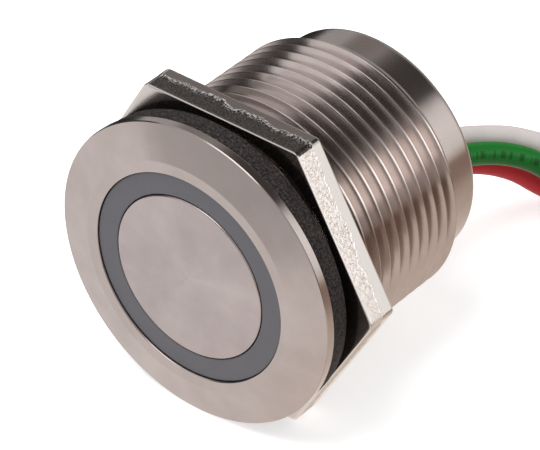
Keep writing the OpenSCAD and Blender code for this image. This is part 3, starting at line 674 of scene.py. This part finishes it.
def makeGasket():
    # a ring whose outer wall bulges and whose cut cells leave it slightly ragged, most of all in its middle
    rise = np.linspace(0, 1, gasket["rows"])
    bulge = gasket["outer"] - gasket["bulge"] * (2 * rise - 1) ** 2
    wall = np.stack([bulge, rise * gasket["thickness"]], axis=-1)
    inner = np.array([[gasket["inner"], gasket["thickness"]], [gasket["inner"], 0]])
    points = turned(np.concatenate([wall, inner]), fullTurn(gasket["sides"]))
    outer = points[:gasket["rows"]]  # a view, so that what changes here changes there
    rough = latticeNoise(outer, gasket["cell"] * mm, 11) + gasket["lumpShare"] * latticeNoise(
        outer, gasket["lump"] * mm, 12)
    edge = np.sin(np.pi * rise)[:, None] ** 0.3
    outer[..., ::2] *= (1 - gasket["crush"] * rough * (0.3 + 0.7 * edge) / gasket["outer"])[..., None]
    faces = gridFaces(len(wall) + 2, gasket["sides"], loop=True)
    makePiece("foamGasket", points, faces, gasketFoam, "switch", ("panel_gasket",))


makeGasket()


# Stamped hexagon nut: torn at the front, sheared smooth at the rear, with rolled rear edges

nut = {
    "front": 2.12, "back": 4.47, "flat": 10.7, "cornerRounding": 0.5, "frontEdge": 0.07, "roll": 0.2,
    "bore": 9.52, "boreChamfer": 0.3,
    "perFlat": 200, "perCorner": 12, "edgeRows": 6, "sideRows": 52, "rollRows": 8,
    # the boundary between torn and sheared metal: its share of the thickness, then how it wanders, as
    # lattice cell, reach and seed
    "tornShare": 0.62, "wander": [(1.7, 0.5, 21), (0.5, 0.3, 22), (0.2, 0.16, 23)],
    "tornDepth": 0.004, "tornRelief": 0.012, "fade": 0.12, "edgeFade": 0.15,
    "tornGrain": [(0.6, 0.5, 31), (0.4, 0.2, 32)],  # weight, lattice cell and seed
    "seamWidth": 0.19, "seamLead": 0.1, "seamRelief": 0.02, "seamBreak": 0.35, "wrinkle": 0.12,
    # painted shade on the torn and the sheared run of each side, standing in for how the light falls on it,
    # from the top clockwise, seen from the front
    "paintedShade": [(0.83, 0.42), (-0.25, 0.2), (0.3, 0.1), (0.45, 0.2), (0.4, 0.1), (0.5, 0.2)],
    # the same painted shade for the front and rear faces and the bore
    "facePaintedShade": 0.25, "faceInset": 0.25, "faceRings": (0, 0.35, 0.7, 1),
}


def nutOutline():
    # a hexagon with rounded corners, walked once round: on each side a straight stretch and then an arc
    flat, rounding = nut["flat"], nut["cornerRounding"]
    reach = (flat - rounding) * math.tan(math.radians(30))
    places, outwards, paintedShade = [], [], []
    for side in range(6):
        # each side's painted shade, for its torn and its sheared run
        paintedShade.append(np.repeat([nut["paintedShade"][side]], nut["perFlat"] + nut["perCorner"], axis=0))
        normal = math.radians(60 * side)
        out = np.array([math.sin(normal), math.cos(normal)])
        along = np.array([math.cos(normal), -math.sin(normal)])
        t = np.linspace(-reach, reach, nut["perFlat"], endpoint=False)[:, None]
        places.append(flat * out + t * along)
        outwards.append(np.repeat(out[None], nut["perFlat"], axis=0))
        arc = normal + np.radians(np.linspace(0, 60, nut["perCorner"], endpoint=False))
        turn = np.stack([np.sin(arc), np.cos(arc)], axis=-1)
        places.append((flat - rounding) * out + reach * along + rounding * turn)
        outwards.append(turn)
    return np.concatenate(places), np.concatenate(outwards), np.concatenate(paintedShade)


def atHeight(places, y):
    return np.stack([places[:, 0], np.full(len(places), y), places[:, 1]], axis=-1)


def makeNut():
    # rows run round the section: front face, torn zone, sheared zone, rolled edge, rear face and bore
    place, out, paintedShade = nutOutline()
    thick = nut["back"] - nut["front"]
    circle = place / np.linalg.norm(place, axis=1)[:, None]
    walk = atHeight(place, 0.0)
    wander = sum((latticeNoise(walk, cell, seed) - 0.5) * reach for cell, reach, seed in nut["wander"])
    border = nut["front"] + thick * nut["tornShare"] + wander
    # how much the seam shows follows the side's painted shade
    seamShowing = np.clip(0.45 + 0.7 * paintedShade[:, 0], 0.3, 1)  # the seam shows less on a bright side
    # sideShades takes each row's painted shade
    rows, torn, seam, sideShades = [], [], [], []

    def addRow(places, y, tornHere, seamHere, sideShadeHere):
        rows.append(atHeight(places, y))
        for numbers, here in ((torn, tornHere), (seam, seamHere), (sideShades, sideShadeHere)):
            numbers.append(np.broadcast_to(here, len(place)))

    def ringAt(inset, y, tornHere=0.0, seamHere=0.0):
        # the outline, moved inwards
        places = place - out * np.broadcast_to(inset, len(place))[:, None]
        addRow(places, y, tornHere, seamHere, paintedShade[:, 0] * tornHere + paintedShade[:, 1] * (1 - tornHere))

    def circleAt(radius, share, y):
        # between the bore's circle and the outline
        reach = circle * radius
        addRow(reach + (place - out * nut["faceInset"] - reach) * share, y, 0.0, 0.0, nut["facePaintedShade"])

    for share in nut["faceRings"]:
        circleAt(nut["bore"] + nut["boreChamfer"], share, nut["front"])
    edge, roll, back = nut["frontEdge"], nut["roll"], nut["back"]
    for angle in np.linspace(0, np.pi / 2, nut["edgeRows"])[:-1]:
        ringAt(edge * (1 - np.sin(angle)), nut["front"] + edge * (1 - np.cos(angle)))
    for depth in np.linspace(edge, thick - roll, nut["sideRows"]):
        y = nut["front"] + depth
        grains = atHeight(place, y)
        rough = sum(weight * latticeNoise(grains, cell, seed) for weight, cell, seed in nut["tornGrain"])
        share = np.clip((border - y) / nut["fade"], 0, 1) * np.clip((depth - edge) / nut["edgeFade"], 0, 1)
        away = (border - y - nut["seamLead"]) / nut["seamWidth"]
        crinkled = seamShowing * np.exp(-away ** 2) * latticeNoise(grains, nut["seamBreak"], 35) ** 0.5
        wrinkle = latticeNoise(grains, nut["wrinkle"], 34)
        sunk = share * (nut["tornDepth"] + nut["tornRelief"] * rough)
        ringAt(sunk + crinkled * nut["seamRelief"] * wrinkle, y, share, crinkled)
    for angle in np.linspace(0, np.pi / 2, nut["rollRows"])[1:]:
        ringAt(roll * (1 - np.cos(angle)), back - roll * (1 - np.sin(angle)))
    for share in nut["faceRings"][::-1]:
        circleAt(nut["bore"] + nut["boreChamfer"], share, back)
    for y in (back - nut["boreChamfer"], nut["front"] + nut["boreChamfer"]):
        circleAt(nut["bore"], 0, y)
    points = np.stack(rows) * mm
    faces = gridFaces(len(rows), len(place), loop=True)
    makePiece("stampedNut", points, faces, nutNickel, "switch", ("hex_nut",), sharp=50,
              values={"torn": np.concatenate(torn), "seam": np.concatenate(seam),
                      "paintedShade": np.concatenate(sideShades)})


makeNut()
print("gasket and nut made")


# Return spring: closed end turns, open between

spring = {"radius": 4.2, "wire": 0.5, "turns": 4.0, "from": 0.22, "to": 4.13, "fixedEnd": 4.4,
          "movingEnd": -0.05, "travel": 1.0, "ease": 0.075, "steps": 220, "sides": 14}


def makeSpring():
    # a helix whose pitch eases to the wire's own width at both ends
    turn = np.linspace(0, 1, spring["steps"])
    ease = turn - spring["ease"] * np.sin(2 * np.pi * turn)
    angle = 2 * np.pi * spring["turns"] * turn
    climb = spring["from"] + (spring["to"] - spring["from"]) * ease
    reach = spring["radius"]
    path = np.stack([reach * np.cos(angle), climb, reach * np.sin(angle)], axis=-1) * mm
    points, _ = sweptTube(path, spring["wire"] / 2 * mm, spring["sides"], upright=(0, 1, 0))
    piece = makePiece("returnSpring", points, gridFaces(len(points), spring["sides"]), springWire, "switch",
                      ("return_spring",))
    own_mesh(piece)


makeSpring()


# Resin that has crept up the rear wall and round each lead as it set

fillet = {"surface": 17.8, "height": 0.35, "reach": 0.4, "sunk": 0.1, "steps": 8, "sides": 72}


def filletRing(centre, wall, outwards, name):
    # a ring with a hollow quarter-round section, which climbs a wall of the given radius
    t = np.linspace(0, np.pi / 2, fillet["steps"])
    reach = fillet["reach"] if outwards else -fillet["reach"]
    away = wall + reach * (1 - np.sin(t))
    rise = fillet["surface"] + fillet["height"] * (1 - np.cos(t))
    bottom = fillet["surface"] - fillet["sunk"]
    outline = np.concatenate([np.stack([away, rise], axis=-1), [[wall, bottom], [wall + reach, bottom]]])
    points = turned(outline, fullTurn(fillet["sides"]))
    points[..., 0] += centre[0] * mm
    points[..., 2] += centre[1] * mm
    faces = gridFaces(len(outline), fillet["sides"], loop=True)
    makePiece(name, points, faces, pottingResin, "switch")


filletRing((0, 0), housing["rearBore"] - 0.01, False, "resinAtWall")
for leadColour in leads["colours"]:
    filletRing(leads[leadColour]["place"], leads["diameter"] / 2, True, "resinAt" + leadColour.capitalize())
print("spring and resin made")


# CAD nodes that stay as they are, with the finish of the real part

# node: material, light and dark colour, size of the grain in millimetres, its relief, and roughness
moulded = {
    "ring_seal": ("siliconeRubber", "#dcd8d0", "#d0ccc4", 0.2, 0.1, 0.6),  # milky and matt
    "button_seal": ("nitrileRubber", "#302d2c", "#232120", 0.15, 0.2, 0.5),  # black, greased
    "plunger": ("acetal", "#ebe5d6", "#e0dac9", 0.3, 0.08, 0.35),  # ivory, slippery
    "light_board": ("whiteSolderMask", "#ecece7", "#e0e0da", 0.25, 0.15, 0.4),  # throws the light forward
    "lights": ("ledLens", "#f6f0cc", "#ebe3b4", 0.3, 0.05, 0.2),  # glossy, yellow from the phosphor
    "contact_block": ("glassFilledNylon", "#333437", "#26272a", 0.14, 0.3, 0.5),  # black, fibres show
    "contact_base": ("phenolicResin", "#83503b", "#6c3f2e", 0.16, 0.25, 0.4),  # brown, pressed from powder
    "terminal_board": ("epoxyGlassBoard", "#33704a", "#28603e", 0.3, 0.2, 0.35),  # green lacquer over weave
    "resistor": ("glazedResistor", "#26282e", "#1b1d22", 0.2, 0.1, 0.3),  # black glaze
}
mouldedKeys = ("light", "dark", "grain", "relief", "roughness")
# node: material, light and dark colour, and roughness
drawn = {
    "light_pins": ("goldPlatedBrass", "#dcbc6c", "#c49f4c", 0.22),
    "contact_bridge": ("berylliumCopper", "#cf955a", "#b47c44", 0.28),
    "contact_common": ("silveredBrassCommon", "#d8bd7a", "#bb9c55", 0.25),
    "contact_working": ("silveredBrassWorking", "#d8bd7a", "#bb9c55", 0.25),
    "solder_joints": ("tinSolder", "#cfd0d3", "#b4b6ba", 0.3),
}
drawnKeys = ("light", "dark", "roughness")


def dressNode(node, material):
    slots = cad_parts[node].data.materials
    slots.clear()
    slots.append(material)


for nodeName, (materialName, *values) in moulded.items():
    dressNode(nodeName, mouldedPlastic(materialName, dict(zip(mouldedKeys, values))))
for nodeName, (materialName, *values) in drawn.items():
    dressNode(nodeName, drawnMetal(materialName, dict(zip(drawnKeys, values))))
dressNode("contact_spring", springWire)
dressNode("bridge_clip", springWire)
dressNode("lead_cores", copperWire)
dressNode("potting", pottingResin)
print("inner pieces dressed")


# Studio: pale floor, soft lamps, and a world whose bright and dark parts the metal mirrors

studio = {
    "floorSize": 6.0,  # metres
    "floorGap": 0.02,  # how far it lies below the switch, so that the two share no plane
    "paper": "#f4f4f4", "glowForMirrors": 1.12, "glowForCamera": 0.65,
    "dome": 0.45, "base": 0.55,  # brightness of the surroundings, for soft light and between the parts
    # direction, half-width and soft edge in degrees, brightness, tint
    "parts": [
        ((0.05, -0.28, 0.96), 13, 10, 1.70, "#ffffff"),  # soft box overhead
        ((-0.10, -0.68, 0.72), 12, 8, 2.40, "#ffffff"),  # lamp above the front
        ((-0.50, 0.15, 0.85), 14, 14, 1.85, "#f6f9ff"),  # soft box above the left
        ((0.20, 0.50, 0.84), 14, 26, 0.07, "#fff8f6"),  # black card behind
        ((-0.50, 0.64, 0.58), 7, 9, 0.27, "#fff4ee"),  # its left end
        ((0.80, 0.50, 0.28), 15, 17, 1.20, "#ffffff"),  # window at the right
        ((0.88, 0.26, 0.40), 9, 9, 3.20, "#ffffff"),  # its brightest pane
        ((-0.45, -0.82, 0.30), 12, 10, 1.15, "#ffffff"),  # pale wall in front
        ((-0.92, -0.38, 0.05), 22.5, 1.5, 0.07, "#fff4f4"),  # black screen at the left
        ((-0.98, 0.10, 0.20), 22, 2, 0.07, "#fff4f4"),
        ((-0.05, -0.97, 0.22), 9, 7, 0.08, "#ffeae0"),  # the photographer's side
    ],
    # painted light: the glow that the mirror-like metal sees on the floor, by distance to the right in
    # millimetres; it browns where the room's light would fall off
    "floorTones": [
        (-20, "#f6f4f4"), (3, "#f4efec"), (12, "#ecdfd4"), (24, "#dccfc4"), (36, "#cab9ad"),
        (50, "#ab978c"), (86, "#a38c80"), (130, "#a18a7f"), (180, "#d5cbc3"), (400, "#f2ebe4")],
    "floorLean": (1, 0.4, 0),  # the direction in which that distance is taken
    # the share of its tone that is left in each shaded part, and the directions that bound the part, each
    # with the distances in millimetres over which the shade comes in
    "floorShades": [
        (0.03, [((-0.4, 0.92, 0), 34, 43), ((-1, 0, 0), 10, 18)]),
        (0.62, [((0.3, -0.95, 0), 27, 44)])],
    # place and width in metres, power in watts
    "lamps": [("frontLamp", (-0.1, -0.25, 0.7), 0.5, 4.2), ("rightLamp", (0.55, 0.35, 0.45), 0.5, 0.5)],
    "lampTint": "#fffdfb",
}


def makeWorld():
    world = bpy.data.worlds.new("studio")
    scene.world = world
    world.use_nodes = True
    tree = world.node_tree
    tree.nodes.clear()
    place = addNode(tree, "ShaderNodeTexCoord")
    colour = addNode(tree, "ShaderNodeRGB").outputs[0]
    colour.default_value = (studio["base"],) * 3 + (1,)
    for direction, half, soft, bright, tint in studio["parts"]:
        lean = addNode(tree, "ShaderNodeVectorMath", {1: Vector(direction).normalized()},
                       {0: place.outputs["Generated"]}, operation="DOT_PRODUCT")
        share = addNode(tree, "ShaderNodeMapRange",
                        {1: math.cos(math.radians(half + soft)), 2: math.cos(math.radians(half))},
                        {0: lean.outputs["Value"]}, interpolation_type="SMOOTHSTEP")
        glow = [bright * part for part in linearColour(tint)[:3]] + [1]
        colour = addNode(tree, "ShaderNodeMix", {7: glow}, {0: share.outputs[0], 6: colour},
                         data_type="RGBA").outputs[2]
    rays = addNode(tree, "ShaderNodeLightPath")
    seen = addNode(tree, "ShaderNodeMath", operation="MAXIMUM",
                   links={0: rays.outputs["Is Glossy Ray"], 1: rays.outputs["Is Transmission Ray"]})
    dome = (studio["dome"],) * 3 + (1,)
    mirrored = addNode(tree, "ShaderNodeMix", {6: dome}, {0: seen.outputs[0], 7: colour}, data_type="RGBA")
    shown = addNode(tree, "ShaderNodeMix", {7: (1, 1, 1, 1)},
                    {0: rays.outputs["Is Camera Ray"], 6: mirrored.outputs[2]}, data_type="RGBA")
    background = addNode(tree, "ShaderNodeBackground", {"Strength": 1.0}, {"Color": shown.outputs[2]})
    addNode(tree, "ShaderNodeOutputWorld", links={"Surface": background.outputs[0]})


def makeFloor():
    # white paper: the camera sees it at full white apart from the switch's shadow, and the metal sees a
    # painted glow instead of lamp light, which turns brown towards the right, with painted shade that
    # leaves it dim in front and nearly black at the left rear
    half = studio["floorSize"] / 2
    level = (floorLevel - studio["floorGap"]) * mm
    corners = [(-half, -half, level), (half, -half, level), (half, half, level), (-half, half, level)]
    mesh = bpy.data.meshes.new("floor")
    mesh.from_pydata(corners, [], [(0, 1, 2, 3)])
    material = bpy.data.materials.new("paperSweep")
    material.use_nodes = True
    tree = material.node_tree
    tree.nodes.clear()
    place = addNode(tree, "ShaderNodeTexCoord")
    rays = addNode(tree, "ShaderNodeLightPath")
    toRight = addNode(tree, "ShaderNodeVectorMath", {1: studio["floorLean"]}, {0: place.outputs["Object"]},
                      operation="DOT_PRODUCT")
    tones = studio["floorTones"]
    first, last = tones[0][0], tones[-1][0]
    reach = addNode(tree, "ShaderNodeMapRange", {1: first * mm, 2: last * mm},
                    {0: toRight.outputs["Value"]})
    ramp = addNode(tree, "ShaderNodeValToRGB", links={0: reach.outputs[0]})
    stops = ramp.color_ramp.elements
    for i, (distance, tone) in enumerate(tones):
        share = (distance - first) / (last - first)
        stop = stops[0] if i == 0 else stops[-1] if share == 1 else stops.new(share)
        stop.color = linearColour(tone)
    tone = ramp.outputs["Color"]
    for left, bounds in studio["floorShades"]:
        inside = addNode(tree, "ShaderNodeValue").outputs[0]
        inside.default_value = 1.0
        for direction, near, far in bounds:
            away = addNode(tree, "ShaderNodeVectorMath", {1: direction}, {0: place.outputs["Object"]},
                           operation="DOT_PRODUCT")
            edge = addNode(tree, "ShaderNodeMapRange", {1: near * mm, 2: far * mm},
                           {0: away.outputs["Value"]}, interpolation_type="SMOOTHSTEP")
            inside = addNode(tree, "ShaderNodeMath", links={0: inside, 1: edge.outputs[0]},
                             operation="MULTIPLY").outputs[0]
        shade = addNode(tree, "ShaderNodeMath", {1: left - 1, 2: 1.0}, {0: inside},
                        operation="MULTIPLY_ADD")
        tone = addNode(tree, "ShaderNodeMix", {0: 1.0}, {6: tone, 7: shade.outputs[0]},
                       data_type="RGBA", blend_type="MULTIPLY").outputs[2]
    seen = addNode(tree, "ShaderNodeMath", operation="MAXIMUM",
                   links={0: rays.outputs["Is Glossy Ray"], 1: rays.outputs["Is Transmission Ray"]})
    tint = addNode(tree, "ShaderNodeMix", {6: linearColour(studio["paper"])},
                   {0: seen.outputs[0], 7: tone}, data_type="RGBA")
    lit = addNode(tree, "ShaderNodeMix", {6: linearColour(studio["paper"]), 7: (0, 0, 0, 1)},
                  {0: seen.outputs[0]}, data_type="RGBA")
    paper = addNode(tree, "ShaderNodeBsdfDiffuse", links={"Color": lit.outputs[2]})
    lift = addNode(tree, "ShaderNodeMath", {1: studio["glowForCamera"]}, {0: rays.outputs["Is Camera Ray"]},
                   operation="MULTIPLY")
    total = addNode(tree, "ShaderNodeMath", {1: studio["glowForMirrors"]},
                    {0: seen.outputs[0], 2: lift.outputs[0]}, operation="MULTIPLY_ADD")
    glow = addNode(tree, "ShaderNodeEmission",
                   links={"Color": tint.outputs[2], "Strength": total.outputs[0]})
    both = addNode(tree, "ShaderNodeAddShader", links={0: paper.outputs[0], 1: glow.outputs[0]})
    addNode(tree, "ShaderNodeOutputMaterial", links={"Surface": both.outputs[0]})
    mesh.materials.append(material)
    floor = bpy.data.objects.new("floor", mesh)
    scene.collection.objects.link(floor)


def makeLamp(name, place, size, power):
    data = bpy.data.lights.new(name, "AREA")
    data.shape = "DISK"
    data.size = size
    data.energy = power
    data.color = linearColour(studio["lampTint"])[:3]
    lamp = bpy.data.objects.new(name, data)
    lamp.location = place
    lamp.rotation_euler = (-Vector(place)).to_track_quat("-Z", "Y").to_euler()
    lamp.visible_glossy = False
    scene.collection.objects.link(lamp)


makeWorld()
makeFloor()
for lamp in studio["lamps"]:
    makeLamp(*lamp)
print("studio made")
